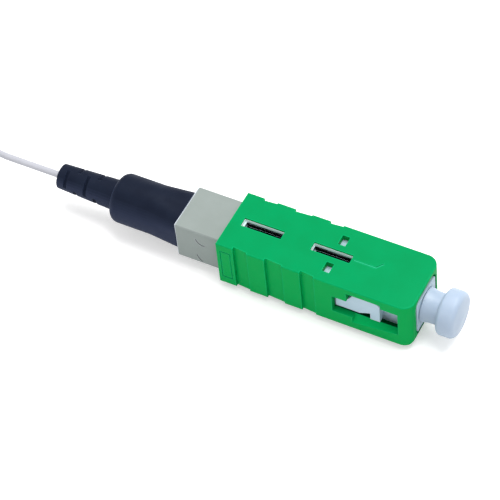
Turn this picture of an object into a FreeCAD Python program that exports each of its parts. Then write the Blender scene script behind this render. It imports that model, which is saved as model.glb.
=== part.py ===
import FreeCAD, Part
import math
import os

# SC fibre connector, field-fitted type with a mechanical splice, on a tight-buffered pigtail.
# Millimetres, +Z up, +X towards the ferrule and its dust cap. Stations along X are counted from
# the rear face of the outer housing; the last step moves every piece so that the origin is under
# the middle of the connector, on the surface that it lies on.

# ---- outer housing: the coloured coupling sleeve ------------------------------------------
HOUSING_LEN = 26.38
HOUSING_W = 9.0
HOUSING_H = 7.4
SIDE_WALL = 0.8
TOP_WALL = 0.8
POCKET_LEN = 2.4          # rear pocket that runs over the rear body as the housing slides
POCKET_WALL = 0.45        # top and bottom wall round that pocket
CAVITY_CORNER = 0.3
EDGE_R = 0.15             # rounding of the long edges and the mouth
NOSE_R = 1.6              # rounding of the upright edges at the mouth
UNDER_R = 0.9             # rounding of the lower edge at the mouth
MOUTH_LIP_LEN = 1.4       # the mouth is narrower and taller than the room behind it
MOUTH_SIDE_WALL = 1.55
MOUTH_TOP_WALL = 0.5
MOUTH_CORNER = 1.2
KEY_H = 0.9               # polarising key on the underside
KEY_W = 2.15
KEY_LEN = 10.0
KEY_SETBACK = 0.95
KEY_CHAMFER = 0.35
GRIPS = [(2.31, 4.25), (6.67, 9.07), (11.5, 13.4)]
GRIP_DEPTH = 0.4
GRIP_EXIT_DEPTH = 0.25
GRIP_RAMP = 0.12
SLOT_W = 1.3              # two wedge slots in the top wall
REAR_SLOT = (1.5, 7.05)
FRONT_SLOT = (11.1, 16.45)
PEEP_START = 13.85        # two small square windows beside the front slot
PEEP_SIZE = 1.0
PEEP_INNER_Y = 1.52
PEEP_W = 1.5
MARK_W = 0.2              # fine engraved line ahead of the front slot
MARK_DEPTH = 0.12
MARK_GAP = 0.25
MARK_LEN = 3.05
MARK_TURN = (0.7, 0.9)
PLAQUE = (0.45, 1.95)     # bare plaque on each flank, where lettering would stand
PLAQUE_HALF_H = 2.5
PLAQUE_LINE_W = 0.15      # groove round the plaque
PLAQUE_LINE_DEPTH = 0.1

# ---- side windows of the housing, measured back from its mouth ----------------------------
WINDOW_FRONT = 1.73
WINDOW_STEP_FRONT = 4.03
WINDOW_STEP_REAR = 8.63
WINDOW_SILL_STEP = 7.93   # the sloping sill starts here
WINDOW_REAR = 10.63
WINDOW_SILL = -1.5        # heights are from the connector's axis
WINDOW_TOP_REAR = 1.3
WINDOW_TOP_MID = 2.8
WINDOW_TOP_FRONT = 2.15
SILL_DROP_REAR = 0.95     # how far the sloping sill falls at its rear and front ends
SILL_DROP_FRONT = 0.2
SILL_LIP = 0.01           # the slope's height at the inner face

# ---- plug frame: the white inner body ------------------------------------------------------
FRAME_GAP_SIDE = 0.35
FRAME_GAP_TOP = 0.45
FRAME_WALL_SIDE = 0.85
FRAME_WALL_TOP = 0.45
FRAME_CHAMFER = 0.6
FRONT_GAP_SIDE = 0.3      # the frame's narrower front half, inside the mouth
FRONT_WALL_SIDE = 0.35
FRONT_CHAMFER = 0.15
FRONT_STEP_GAP = 0.4      # from the step in the frame's width to the tongues
FRONT_STEP_T = 0.6
FRAME_SLOT_W = 1.15
FRAME_SLOT_LEDGE = 0.3    # strip of frame left bare at the rear end of each wedge slot
MOUTH_BORE_WALL = 0.45
SHOULDER_T = 1.0
SHOULDER_GAP = 0.05
SHOULDER_BORE_GAP = 0.08
BOSS_RISE = 1.25          # latch bosses that stand in the side windows
BOSS_FOOT_GAP = 0.15      # over the sill
BOSS_FRONT_GAP = 0.4      # behind the window's front step
BOSS_REAR_GAP = 0.55      # ahead of the window's rear step
BOSS_TOP_GAP = 0.25
BOSS_SLANT = 0.6          # the rear face leans forward by this much
BOSS_CHAMFER = (0.45, 0.25)
BOSS_LEG_W = 1.3
BOSS_ARCH = -0.26
BOSS_SOLE = -0.89
BOSS_SOLE_LEN = 0.9
TONGUE_REAR_GAP = 0.25
TONGUE_TOP_GAP = 0.3

# ---- rear body: the grey block behind the housing ------------------------------------------
BODY_LEN = 6.55           # length that shows behind the housing
BODY_GAP_SIDE = 0.3       # between the block and the pocket that slides over it
BODY_GAP_TOP = 0.28
BODY_EDGE_R = 0.2
BODY_REAR_CHAMFER = 0.18
BODY_INSET = 0.3          # how far the full block reaches into the rear pocket
SPIGOT_LEN = 1.2
SPIGOT_FIT = 0.05
SPIGOT_WALL = 0.2         # least wall between the spigot's top and the spring bore
SPRING_FLOOR_T = 1.65     # material behind the spring bore
STEM_R = 2.35             # round stem that the boot is pushed on
STEM_LEN = 5.6
STEM_BORE_GAP = 0.1
STEM_RIB_RISE = 0.2
STEM_RIB_W = 0.6
STEM_RIB_PITCH = 1.7
STEM_RIBS = 3
STEM_RIB_START = 1.1
LUG_RISE = 0.35           # snap lugs that hold the rear body in the plug frame
LUG_SETBACK = 0.4
LUG_LEN = 0.5
LUG_HALF_H = 1.0
LUG_FIT = 0.06
FLANK_ARCS = [(-2.6, 1.6, 0.95, 180.0, 285.0), (-2.35, -1.45, 1.25, 180.0, 246.0)]
FLANK_ARC_W = 0.2
FLANK_ARC_DEPTH = 0.12

# ---- boot -----------------------------------------------------------------------------------
BOOT_BLEND_LEN = 4.25     # the front end passes from a rounded square to a circle
BOOT_FRONT_CORNER = 2.2
BOOT_R = 3.27
BOOT_BARREL_LEN = 10.0    # from the rear body to the foot of the shoulder
BOOT_SHOULDER_R = 1.0
CROWN_ANGLE = 20.0        # half angle of the short arcs that meet the flat sides in the blend
TAIL_R_FRONT = 2.02
TAIL_R_REAR = 1.66
TAIL_LEN = 8.3
TAIL_SLOT_W = 0.5
TAIL_SLOT_DEPTH = 0.78
TAIL_SLOT_PITCH = 1.48
TAIL_SLOTS = 4
TAIL_SLOT_FIRST = 2.6     # from the shoulder to the first pair of slots
CABLE_BORE_GAP = 0.05
GRIP_SLEEVE_LEN = 3.0
GRIP_SLEEVE_R = 1.55
GRIP_SLEEVE_FIT = 0.04
GRIP_SLEEVE_SLIT = 0.3

# ---- ferrule unit: ferrule, flange and splice ----------------------------------------------
FERRULE_R = 1.249
FERRULE_LEN = 10.5
FERRULE_PROUD = 1.0       # tip beyond the mouth of the housing
FERRULE_CHAMFER = 0.35
FERRULE_CHAMFER_LEN = 1.05
FERRULE_ANGLE = 8.0       # angled physical contact
FIBRE_R = 0.0625
FIBRE_BORE_GAP = 0.004
FLANGE_SEAT = 0.15
FLANGE_FIT = 0.01
COLLAR_LEN = 1.75
COLLAR_GAP_SIDE = 0.35
COLLAR_GAP_TOP = 0.3
COLLAR_CHAMFER = 0.7
FLANGE_NOSE_LEN = 1.7
FLANGE_NOSE_WALL = 0.49
SPLICE_REAR = 2.6
SPLICE_WEB = 0.35
SPLICE_PART_GAP = 0.03
SPLICE_WEDGE = 0.38       # chamfer along the parting line that takes the wedge
SPLICE_FIBRE_CLEAR = 0.0125
LID_GAP = 0.3
LID_END_GAP = 0.08
LID_SPLIT = 9.1
COATING_ROOM = 5.3        # channel left free ahead of the coated fibre
BUFFER_INSERT = 0.6       # how far the coated fibre reaches into the splice
JOINT_OFFSET = 1.4        # splice point ahead of the splice's middle
CLAMP_T = 0.22
CLAMP_FIT = 0.02
CLAMP_GAP_SIDE = 0.41     # between the clips and the plug frame
CLAMP_GAP_TOP = 0.26
CLAMP_SETBACK = 1.3
CLAMP_ARM_DROP = 0.3
SEAT_T = 0.4
SEAT_GAP = 0.2            # between the thrust ring and the spring bore
SEAT_BORE_GAP = 0.15      # between the ring and the coated fibre
SPRING_WIRE_R = 0.2
SPRING_GAP = 0.25         # between the spring and its bore
SPRING_TURNS = 6
SPRING_END_GAP = 0.02

# ---- dust cap --------------------------------------------------------------------------------
CAP_FIT = 0.03            # on the ferrule
CAP_MOUTH_GAP = 0.3       # between its tube and the frame's mouth
CAP_NECK_R = 2.15
CAP_HEAD_R = 3.05
CAP_TUBE_LEN = 5.5        # inside the mouth
CAP_STEP_GAP = 0.3
CAP_NECK_LEN = 2.12       # from the mouth to the head
CAP_HEAD_LEN = 2.5
CAP_DOME = 0.3
CAP_EDGE_R = 0.45
CAP_NECK_FILLET = 0.3
CAP_TIP_ROOM = 0.75

# ---- cable -----------------------------------------------------------------------------------
CABLE_R = 0.45
CABLE_LENGTH = 1000.0     # the whole free pigtail
CABLE_STRIP = 0.3         # how far the bare fibre starts inside its coating
STRIP_BORE_R = 0.1
STRIP_BORE_LEN = 1.4
STRAIGHT_RUN = 10.3       # leaves the boot straight
DROP_RUN = 10.5
HANK_RUN = 14.0           # the rest lies in long turns, in line with the connector
HANK_END_R = 4.2
HANK_BUNDLE_R = 2.5
HANK_SIDE = 2.0           # how far its nearer run lies beside the axis
HANK_TIE_T = 0.15
HANK_TIE_W = 2.6
BEND_SHARE = 0.45         # part of the shorter run that an arc may take

# ---- worked out from the sizes above ----------------------------------------------------------
EPS = 0.5                 # how far a cutting tool runs past the face that it opens
TINY = 1e-6               # two faces nearer than this are the same face
AXIS_Z = KEY_H + HOUSING_H / 2
HALF_W = HOUSING_W / 2
HALF_H = HOUSING_H / 2
CAVITY_HALF_W = HALF_W - SIDE_WALL
CAVITY_HALF_H = HALF_H - TOP_WALL
FRAME_HALF_W = CAVITY_HALF_W - FRAME_GAP_SIDE
FRAME_HALF_H = CAVITY_HALF_H - FRAME_GAP_TOP
FRAME_IN_W = FRAME_HALF_W - FRAME_WALL_SIDE
FRAME_IN_H = FRAME_HALF_H - FRAME_WALL_TOP
FRAME_REAR = BODY_INSET
MOUTH_HALF_W = HALF_W - MOUTH_SIDE_WALL
MOUTH_HALF_H = HALF_H - MOUTH_TOP_WALL
FRONT_HALF_W = MOUTH_HALF_W - FRONT_GAP_SIDE
FRONT_IN_W = FRONT_HALF_W - FRONT_WALL_SIDE
TONGUE_REAR = HOUSING_LEN - WINDOW_REAR + TONGUE_REAR_GAP
FRONT_STEP = TONGUE_REAR - FRONT_STEP_GAP
MOUTH_BORE_R = FRAME_HALF_H - MOUTH_BORE_WALL
BODY_HALF_W = CAVITY_HALF_W - BODY_GAP_SIDE
BODY_HALF_H = HALF_H - POCKET_WALL - BODY_GAP_TOP
SPLICE_HALF_W = FRAME_IN_W - CLAMP_GAP_SIDE - CLAMP_T - CLAMP_FIT
SPLICE_HALF_H = FRAME_IN_H - CLAMP_GAP_TOP - CLAMP_T - CLAMP_FIT
COLLAR_HALF_W = FRONT_IN_W - COLLAR_GAP_SIDE
COLLAR_HALF_H = FRAME_IN_H - COLLAR_GAP_TOP
SPRING_BORE_R = FRAME_IN_H - SPIGOT_FIT - SPIGOT_WALL
SPRING_MEAN_R = SPRING_BORE_R - SPRING_GAP - SPRING_WIRE_R
SEAT_R = SPRING_BORE_R - SEAT_GAP
SEAT_BORE_R = CABLE_R + SEAT_BORE_GAP
FLANGE_NOSE_R = FERRULE_R + FLANGE_FIT + FLANGE_NOSE_WALL
TIP_X = HOUSING_LEN + FERRULE_PROUD
FERRULE_REAR = TIP_X - FERRULE_LEN
FLANGE_REAR = FERRULE_REAR - FLANGE_SEAT
COLLAR_FRONT = FLANGE_REAR + COLLAR_LEN + FLANGE_SEAT
SHOULDER_REAR = COLLAR_FRONT + SHOULDER_GAP
SHOULDER_FRONT = SHOULDER_REAR + SHOULDER_T
SPIGOT_FRONT = FRAME_REAR + SPIGOT_LEN
SPRING_SEAT_X = SPRING_FLOOR_T - BODY_LEN
STEM_REAR = -BODY_LEN - STEM_LEN
BARREL_REAR = -BODY_LEN - BOOT_BARREL_LEN
BOOT_REAR = BARREL_REAR - TAIL_LEN
CABLE_BORE_R = CABLE_R + CABLE_BORE_GAP
BUFFER_FRONT = SPLICE_REAR + BUFFER_INSERT
FIBRE_JOINT = (FLANGE_REAR + SPLICE_REAR) / 2 + JOINT_OFFSET
CAP_BORE_R = FERRULE_R + CAP_FIT
CAP_TUBE_R = MOUTH_BORE_R - CAP_MOUTH_GAP
CAP_REAR = HOUSING_LEN - CAP_TUBE_LEN
CAP_HEAD_REAR = HOUSING_LEN + CAP_NECK_LEN
CAP_RIM = CAP_HEAD_REAR + CAP_HEAD_LEN
CAP_FRONT = CAP_RIM + CAP_DOME
ORIGIN_SHIFT = -(BOOT_REAR + CAP_FRONT) / 2
HANK_Z = HANK_BUNDLE_R + HANK_TIE_T
HANK_X = BOOT_REAR - STRAIGHT_RUN - DROP_RUN


def vec(x, y, z):
    """Point or direction."""
    return FreeCAD.Vector(x, y, z)


def block(x0, x1, y0, y1, z0, z1):
    """Box between two corners; heights are counted from the connector's axis."""
    return Part.makeBox(x1 - x0, y1 - y0, z1 - z0, vec(x0, y0, AXIS_Z + z0))


def bar(x0, x1, half_w, half_h):
    """Rectangular bar centred on the axis."""
    return block(x0, x1, -half_w, half_w, -half_h, half_h)


def rod(radius, x0, x1):
    """Round bar on the axis."""
    return Part.makeCylinder(radius, x1 - x0, vec(x0, 0, AXIS_Z), vec(1, 0, 0))


def prism_y(points, y0, y1):
    """Outline of (x, height from axis) points, extruded along Y."""
    wire = Part.makePolygon([vec(x, y0, AXIS_Z + z) for x, z in points + points[:1]])
    return Part.Face(wire).extrude(vec(0, y1 - y0, 0))


def prism_z(points, z0, z1):
    """Outline of (x, y) points, extruded between two heights from the axis."""
    wire = Part.makePolygon([vec(x, y, AXIS_Z + z0) for x, y in points + points[:1]])
    return Part.Face(wire).extrude(vec(0, 0, z1 - z0))


def turned(points):
    """Solid of revolution about the axis from (x, radius) points."""
    wire = Part.makePolygon([vec(x, 0, AXIS_Z + r) for x, r in points + points[:1]])
    return Part.Face(wire).revolve(vec(0, 0, AXIS_Z), vec(1, 0, 0), 360)


def edges_where(shape, test):
    """Edges whose two ends and middle all satisfy a test on the point."""
    found = []
    for edge in shape.Edges:
        first, last = edge.ParameterRange
        spots = [edge.valueAt(first), edge.valueAt((first + last) / 2), edge.valueAt(last)]
        if all(test(spot) for spot in spots):
            found.append(edge)
    return found


def long_edges(shape, length):
    """Straight edges along X that are at least as long as given."""
    found = []
    for edge in shape.Edges:
        start, end = edge.Vertexes[0].Point, edge.Vertexes[-1].Point
        if abs(end.x - start.x) >= length and abs(end.y - start.y) + abs(end.z - start.z) < TINY:
            found.append(edge)
    return found


def mirrored(shape):
    """The same shape on the other side of the connector's upright middle plane."""
    return shape.mirror(vec(0, 0, 0), vec(0, 1, 0))


def both_sides(shape):
    """A shape with its mirror image."""
    return shape.fuse(mirrored(shape))


def rounded_section(x, half_w, half_h, corner):
    """Closed wire across the axis: four sides and four corner arcs.

    With corner equal to both half sizes the sides turn into short arcs of the same circle,
    so that every section has eight edges and lofts cleanly onto the others.
    """
    round_section = min(half_w, half_h) - corner < TINY
    spread = math.radians(CROWN_ANGLE)
    edges = []
    knots = []
    for quarter in range(4):
        middle = math.radians(45 + 90 * quarter)
        sign_y = 1 if math.cos(middle) > 0 else -1
        sign_z = 1 if math.sin(middle) > 0 else -1
        centre_y = sign_y * (half_w - corner)
        centre_z = sign_z * (half_h - corner)
        reach = math.radians(45) - (spread if round_section else 0)
        points = []
        for angle in (middle - reach, middle, middle + reach):
            points.append(vec(x, centre_y + corner * math.cos(angle),
                              AXIS_Z + centre_z + corner * math.sin(angle)))
        knots.append(points)
    for quarter in range(4):
        points = knots[quarter]
        following = knots[(quarter + 1) % 4]
        edges.append(Part.Arc(*points).toShape())
        if round_section:
            angle = math.radians(90 + 90 * quarter)
            crown = vec(x, corner * math.cos(angle), AXIS_Z + corner * math.sin(angle))
            edges.append(Part.Arc(points[2], crown, following[0]).toShape())
        else:
            edges.append(Part.LineSegment(points[2], following[0]).toShape())
    return Part.Wire(edges)


# ---- outer housing ----------------------------------------------------------------------------
def housing_blank():
    """Outer block with rounded nose, long edges and mouth edge."""
    blank = bar(0, HOUSING_LEN, HALF_W, HALF_H)
    nose = edges_where(blank, lambda p: p.x > HOUSING_LEN - TINY and abs(abs(p.y) - HALF_W) < TINY)
    blank = blank.makeFillet(NOSE_R, nose)
    flat = edges_where(blank, lambda p: abs(abs(p.z - AXIS_Z) - HALF_H) < TINY)
    blank = blank.makeFillet(EDGE_R, [edge for edge in flat if edge.BoundBox.XMax > EDGE_R])
    corner = block(HOUSING_LEN - UNDER_R, HOUSING_LEN + EPS, -HALF_W - EPS, HALF_W + EPS,
                   -HALF_H - EPS, UNDER_R - HALF_H)
    round_bar = Part.makeCylinder(UNDER_R, HOUSING_W + 4 * EPS,
                                  vec(HOUSING_LEN - UNDER_R, -HALF_W - 2 * EPS, AXIS_Z + UNDER_R - HALF_H),
                                  vec(0, 1, 0))
    return blank.cut(corner.cut(round_bar))


def grip_notches():
    """Cuts down both flanks: a sharp step behind, a floor that rises, a short ramp ahead."""
    cuts = []
    for start, end in GRIPS:
        outline = [(start, HALF_W + EPS), (start, HALF_W - GRIP_DEPTH),
                   (end - GRIP_RAMP, HALF_W - GRIP_EXIT_DEPTH), (end, HALF_W), (end, HALF_W + EPS)]
        cuts.append(both_sides(prism_z(outline, -HALF_H - EPS, HALF_H + EPS)))
    return cuts


def side_windows():
    """Stepped window through each flank, with a sill that slopes down and outwards."""
    front = HOUSING_LEN - WINDOW_FRONT
    step_front = HOUSING_LEN - WINDOW_STEP_FRONT
    step_rear = HOUSING_LEN - WINDOW_STEP_REAR
    sill_rear = HOUSING_LEN - WINDOW_SILL_STEP
    rear = HOUSING_LEN - WINDOW_REAR
    outline = [(rear, WINDOW_SILL), (front, WINDOW_SILL), (front, WINDOW_TOP_FRONT),
               (step_front, WINDOW_TOP_FRONT), (step_front, WINDOW_TOP_MID),
               (step_rear, WINDOW_TOP_MID), (step_rear, WINDOW_TOP_REAR), (rear, WINDOW_TOP_REAR)]
    opening = prism_y(outline, CAVITY_HALF_W - EPS, HALF_W + EPS)
    outer = [(sill_rear, WINDOW_SILL), (front, WINDOW_SILL),
             (front, WINDOW_SILL - SILL_DROP_FRONT), (sill_rear, WINDOW_SILL - SILL_DROP_REAR)]
    outer_wire = Part.makePolygon([vec(x, HALF_W, AXIS_Z + z) for x, z in outer + outer[:1]])
    inner = [(sill_rear, WINDOW_SILL), (front, WINDOW_SILL),
             (front, WINDOW_SILL - SILL_LIP), (sill_rear, WINDOW_SILL - SILL_LIP)]
    inner_wire = Part.makePolygon([vec(x, CAVITY_HALF_W, AXIS_Z + z) for x, z in inner + inner[:1]])
    slope = Part.makeLoft([outer_wire, inner_wire], True, True)
    return both_sides(opening.fuse(slope))


def top_openings():
    """Wedge slots, the two square windows and the engraved line of the top wall."""
    half_slot = SLOT_W / 2
    cuts = []
    for start, end in (REAR_SLOT, FRONT_SLOT):
        cuts.append(block(start, end, -half_slot, half_slot, CAVITY_HALF_H - EPS, HALF_H + EPS))
    peep = block(PEEP_START, PEEP_START + PEEP_SIZE, PEEP_INNER_Y, PEEP_INNER_Y + PEEP_W,
                 CAVITY_HALF_H - EPS, HALF_H + EPS)
    cuts.append(both_sides(peep))
    start = FRONT_SLOT[1] + MARK_GAP
    bend = start + MARK_LEN
    turn_x, turn_y = MARK_TURN
    half = MARK_W / 2
    outline = [(start, -half), (bend, -half), (bend + turn_x, turn_y - half),
               (bend + turn_x - half, turn_y + half), (bend - half, half), (start, half)]
    cuts.append(prism_z(outline, HALF_H - MARK_DEPTH, HALF_H + EPS))
    return cuts


def plaque_line():
    """Fine groove round the bare plaque on the +Y flank."""
    start, end = PLAQUE
    floor = HALF_W - PLAQUE_LINE_DEPTH
    plaque = block(start, end, floor, HALF_W + EPS, -PLAQUE_HALF_H, PLAQUE_HALF_H)
    half_h = PLAQUE_HALF_H - PLAQUE_LINE_W
    return plaque.cut(block(start + PLAQUE_LINE_W, end - PLAQUE_LINE_W, floor, HALF_W + EPS, -half_h, half_h))


def outer_housing():
    """Coupling sleeve: open at both ends, keyed underneath, gripped on both flanks."""
    body = housing_blank()
    key_front = HOUSING_LEN - KEY_SETBACK
    key = block(key_front - KEY_LEN, key_front, -KEY_W / 2, KEY_W / 2, -HALF_H - KEY_H, TOP_WALL / 2 - HALF_H)
    corner = [(key_front - KEY_CHAMFER, -HALF_H - KEY_H - EPS), (key_front + EPS, -HALF_H - KEY_H - EPS),
              (key_front + EPS, -HALF_H - KEY_H + KEY_CHAMFER + EPS)]
    key = key.cut(prism_y(corner, -KEY_W, KEY_W))
    body = body.fuse(key)
    for notch in grip_notches():
        body = body.cut(notch)
    body = body.cut(both_sides(plaque_line()))
    lip = HOUSING_LEN - MOUTH_LIP_LEN
    cavity = bar(-EPS, lip, CAVITY_HALF_W, CAVITY_HALF_H)
    cavity = cavity.makeFillet(CAVITY_CORNER, long_edges(cavity, lip))
    mouth = bar(lip - EPS / 2, HOUSING_LEN + EPS, MOUTH_HALF_W, MOUTH_HALF_H)
    mouth = mouth.makeFillet(MOUTH_CORNER, long_edges(mouth, MOUTH_LIP_LEN))
    pocket = bar(-EPS, POCKET_LEN, CAVITY_HALF_W, HALF_H - POCKET_WALL)
    body = body.cut(cavity).cut(mouth).cut(pocket).cut(side_windows())
    for opening in top_openings():
        body = body.cut(opening)
    return body


# ---- plug frame ---------------------------------------------------------------------------------
def latch_boss():
    """Boss and tongue on the +Y flank of the frame, standing in the housing's side window."""
    rear = HOUSING_LEN - WINDOW_STEP_REAR + BOSS_REAR_GAP
    front = HOUSING_LEN - WINDOW_STEP_FRONT - BOSS_FRONT_GAP
    leg = front - BOSS_LEG_W
    top = WINDOW_TOP_FRONT - BOSS_TOP_GAP
    foot = WINDOW_SILL + BOSS_FOOT_GAP
    tongue_top = WINDOW_TOP_REAR - TONGUE_TOP_GAP
    outline = [(TONGUE_REAR, BOSS_SOLE), (rear + BOSS_SOLE_LEN, BOSS_SOLE), (leg, BOSS_ARCH), (leg, foot),
               (front, foot), (front, top - BOSS_CHAMFER[1]), (front - BOSS_CHAMFER[0], top), (rear, top),
               (rear - BOSS_SLANT, tongue_top), (TONGUE_REAR, tongue_top)]
    return prism_y(outline, FRONT_HALF_W - FRONT_WALL_SIDE / 2, FRONT_HALF_W + BOSS_RISE)


def plug_frame():
    """White inner body: splice chamber behind, shoulder, round mouth ahead, bosses on its flanks."""
    body = bar(FRAME_REAR, FRONT_STEP, FRAME_HALF_W, FRAME_HALF_H)
    body = body.makeChamfer(FRAME_CHAMFER, long_edges(body, SHOULDER_T))
    front = bar(FRONT_STEP - FRONT_STEP_T, HOUSING_LEN, FRONT_HALF_W, FRAME_HALF_H)
    front = front.makeChamfer(FRONT_CHAMFER, long_edges(front, SHOULDER_T))
    body = body.fuse(front).fuse(both_sides(latch_boss()))
    body = body.cut(bar(FRAME_REAR - EPS, FRONT_STEP - FRONT_STEP_T, FRAME_IN_W, FRAME_IN_H))
    body = body.cut(bar(FRONT_STEP - FRONT_STEP_T - EPS, SHOULDER_REAR, FRONT_IN_W, FRAME_IN_H))
    body = body.cut(rod(FLANGE_NOSE_R + SHOULDER_BORE_GAP, SHOULDER_REAR - EPS, SHOULDER_FRONT + EPS))
    body = body.cut(rod(MOUTH_BORE_R, SHOULDER_FRONT, HOUSING_LEN + EPS))
    half_slot = FRAME_SLOT_W / 2
    for start, end in (REAR_SLOT, FRONT_SLOT):
        body = body.cut(block(start + FRAME_SLOT_LEDGE, end, -half_slot, half_slot,
                              FRAME_IN_H - EPS, FRAME_HALF_H + EPS))
    window = block(FRAME_REAR + LUG_SETBACK - LUG_FIT, FRAME_REAR + LUG_SETBACK + LUG_LEN + LUG_FIT,
                   FRAME_IN_W - EPS, FRAME_HALF_W + EPS, -LUG_HALF_H - LUG_FIT, LUG_HALF_H + LUG_FIT)
    return body.cut(both_sides(window))


# ---- rear body ----------------------------------------------------------------------------------
def flank_arc(centre_x, centre_z, radius, start, end):
    """Shallow curved groove on the +Y flank of the rear body."""
    ring = Part.makeCylinder(radius + FLANK_ARC_W / 2, FLANK_ARC_DEPTH + EPS,
                             vec(centre_x, BODY_HALF_W - FLANK_ARC_DEPTH, AXIS_Z + centre_z), vec(0, 1, 0))
    core = Part.makeCylinder(radius - FLANK_ARC_W / 2, FLANK_ARC_DEPTH + EPS,
                             vec(centre_x, BODY_HALF_W - FLANK_ARC_DEPTH, AXIS_Z + centre_z), vec(0, 1, 0))
    reach = 3 * radius
    sector = [(centre_x, centre_z)]
    for angle in (start, (start + end) / 2, end):
        turn = math.radians(angle)
        sector.append((centre_x + reach * math.cos(turn), centre_z + reach * math.sin(turn)))
    wedge = prism_y(sector, BODY_HALF_W - FLANK_ARC_DEPTH, BODY_HALF_W + EPS)
    return ring.cut(core).common(wedge)


def rear_body():
    """Grey block with a spigot for the plug frame, a spring bore and a ribbed stem for the boot."""
    shell = bar(-BODY_LEN, BODY_INSET, BODY_HALF_W, BODY_HALF_H)
    shell = shell.makeFillet(BODY_EDGE_R, long_edges(shell, BODY_LEN))
    rear_rim = edges_where(shell, lambda p: p.x < TINY - BODY_LEN)
    shell = shell.makeChamfer(BODY_REAR_CHAMFER, rear_rim)
    for arc in FLANK_ARCS:
        shell = shell.cut(both_sides(flank_arc(*arc)))
    spigot = bar(0, SPIGOT_FRONT, FRAME_IN_W - SPIGOT_FIT, FRAME_IN_H - SPIGOT_FIT)
    lug_start = FRAME_REAR + LUG_SETBACK
    lug_top = FRAME_IN_W - SPIGOT_FIT + LUG_RISE
    lug = block(lug_start, lug_start + LUG_LEN, 0, lug_top, -LUG_HALF_H, LUG_HALF_H)
    stem = rod(STEM_R, STEM_REAR, -BODY_LEN + EPS)
    body = shell.fuse(spigot).fuse(both_sides(lug)).fuse(stem)
    for number in range(STEM_RIBS):
        body = body.fuse(stem_rib(number))
    body = body.cut(rod(SPRING_BORE_R, SPRING_SEAT_X, SPIGOT_FRONT + EPS))
    return body.cut(rod(CABLE_R + STEM_BORE_GAP, STEM_REAR - EPS, SPRING_SEAT_X + EPS))


def stem_rib(number):
    """One barb ring of the stem: a cone that rises forwards and holds the boot."""
    rear = -BODY_LEN - STEM_RIB_START - number * STEM_RIB_PITCH - STEM_RIB_W
    front = rear + STEM_RIB_W
    return turned([(rear, 0), (rear, STEM_R), (front, STEM_R + STEM_RIB_RISE), (front, 0)])


# ---- boot ---------------------------------------------------------------------------------------
def tail_slot(station, turn):
    """Cut that opens one side of the boot's tail over a quarter turn or so."""
    reach = TAIL_R_FRONT + EPS
    floor = TAIL_R_FRONT - TAIL_SLOT_DEPTH
    cut = Part.makeBox(TAIL_SLOT_W, 2 * reach, EPS + TAIL_SLOT_DEPTH,
                       vec(station - TAIL_SLOT_W / 2, -reach, AXIS_Z + floor))
    cut.rotate(vec(0, 0, AXIS_Z), vec(1, 0, 0), turn)
    return cut


def boot():
    """Rubber boot: square-to-round front, barrel with a round shoulder, slotted flexible tail."""
    front = -BODY_LEN
    blend_rear = front - BOOT_BLEND_LEN
    sections = [rounded_section(front, BODY_HALF_W, BODY_HALF_H, BOOT_FRONT_CORNER),
                rounded_section(blend_rear, BOOT_R, BOOT_R, BOOT_R)]
    head = Part.makeLoft(sections, True, True)
    barrel = rod(BOOT_R, BARREL_REAR, blend_rear)
    rear_rim = edges_where(barrel, lambda p: p.x < BARREL_REAR + TINY)
    barrel = barrel.makeFillet(BOOT_SHOULDER_R, rear_rim)
    tail = turned([(BOOT_REAR, 0), (BOOT_REAR, TAIL_R_REAR), (BARREL_REAR, TAIL_R_FRONT),
                   (BARREL_REAR + EPS, TAIL_R_FRONT), (BARREL_REAR + EPS, 0)])
    body = head.fuse(barrel).fuse(tail)
    for number in range(TAIL_SLOTS):
        station = BARREL_REAR - TAIL_SLOT_FIRST - number * TAIL_SLOT_PITCH
        diagonal = -45 if number % 2 == 0 else 45
        for turn in (diagonal, diagonal + 180):
            body = body.cut(tail_slot(station, turn))
    bore = rod(STEM_R, STEM_REAR, front + EPS)
    for number in range(STEM_RIBS):
        bore = bore.fuse(stem_rib(number))
    sleeve_seat = rod(GRIP_SLEEVE_R, STEM_REAR - GRIP_SLEEVE_LEN, STEM_REAR + EPS)
    passage = rod(CABLE_BORE_R, BOOT_REAR - EPS, STEM_REAR)
    return body.cut(bore).cut(sleeve_seat).cut(passage)


def grip_sleeve():
    """Split sleeve that holds the cable behind the stem, inside the boot."""
    rear = STEM_REAR - GRIP_SLEEVE_LEN
    sleeve = rod(GRIP_SLEEVE_R - GRIP_SLEEVE_FIT, rear, STEM_REAR)
    sleeve = sleeve.cut(rod(CABLE_R, rear - EPS, STEM_REAR + EPS))
    half = GRIP_SLEEVE_SLIT / 2
    return sleeve.cut(block(rear - EPS, STEM_REAR + EPS, -half, half, 0, GRIP_SLEEVE_R + EPS))


# ---- ferrule unit -------------------------------------------------------------------------------
def ferrule():
    """Ceramic ferrule with a chamfered rim, an angled end face and the fibre's fine bore."""
    body = rod(FERRULE_R, FERRULE_REAR, TIP_X + EPS)
    tilt = math.tan(math.radians(FERRULE_ANGLE)) * 2 * FERRULE_R
    face = [(TIP_X - tilt, 2 * FERRULE_R), (TIP_X + tilt, -2 * FERRULE_R),
            (TIP_X + tilt + EPS, -2 * FERRULE_R), (TIP_X + tilt + EPS, 2 * FERRULE_R)]
    body = body.cut(prism_y(face, -2 * FERRULE_R, 2 * FERRULE_R))
    rim_start = TIP_X - FERRULE_CHAMFER_LEN
    rim_end_r = FERRULE_R - FERRULE_CHAMFER * (1 + EPS / FERRULE_CHAMFER_LEN)
    rim = turned([(rim_start, FERRULE_R), (rim_start, FERRULE_R + EPS), (TIP_X + EPS, FERRULE_R + EPS),
                  (TIP_X + EPS, rim_end_r)])
    body = body.cut(rim)
    return body.cut(rod(FIBRE_R + FIBRE_BORE_GAP, FERRULE_REAR - EPS, TIP_X + EPS))


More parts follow.
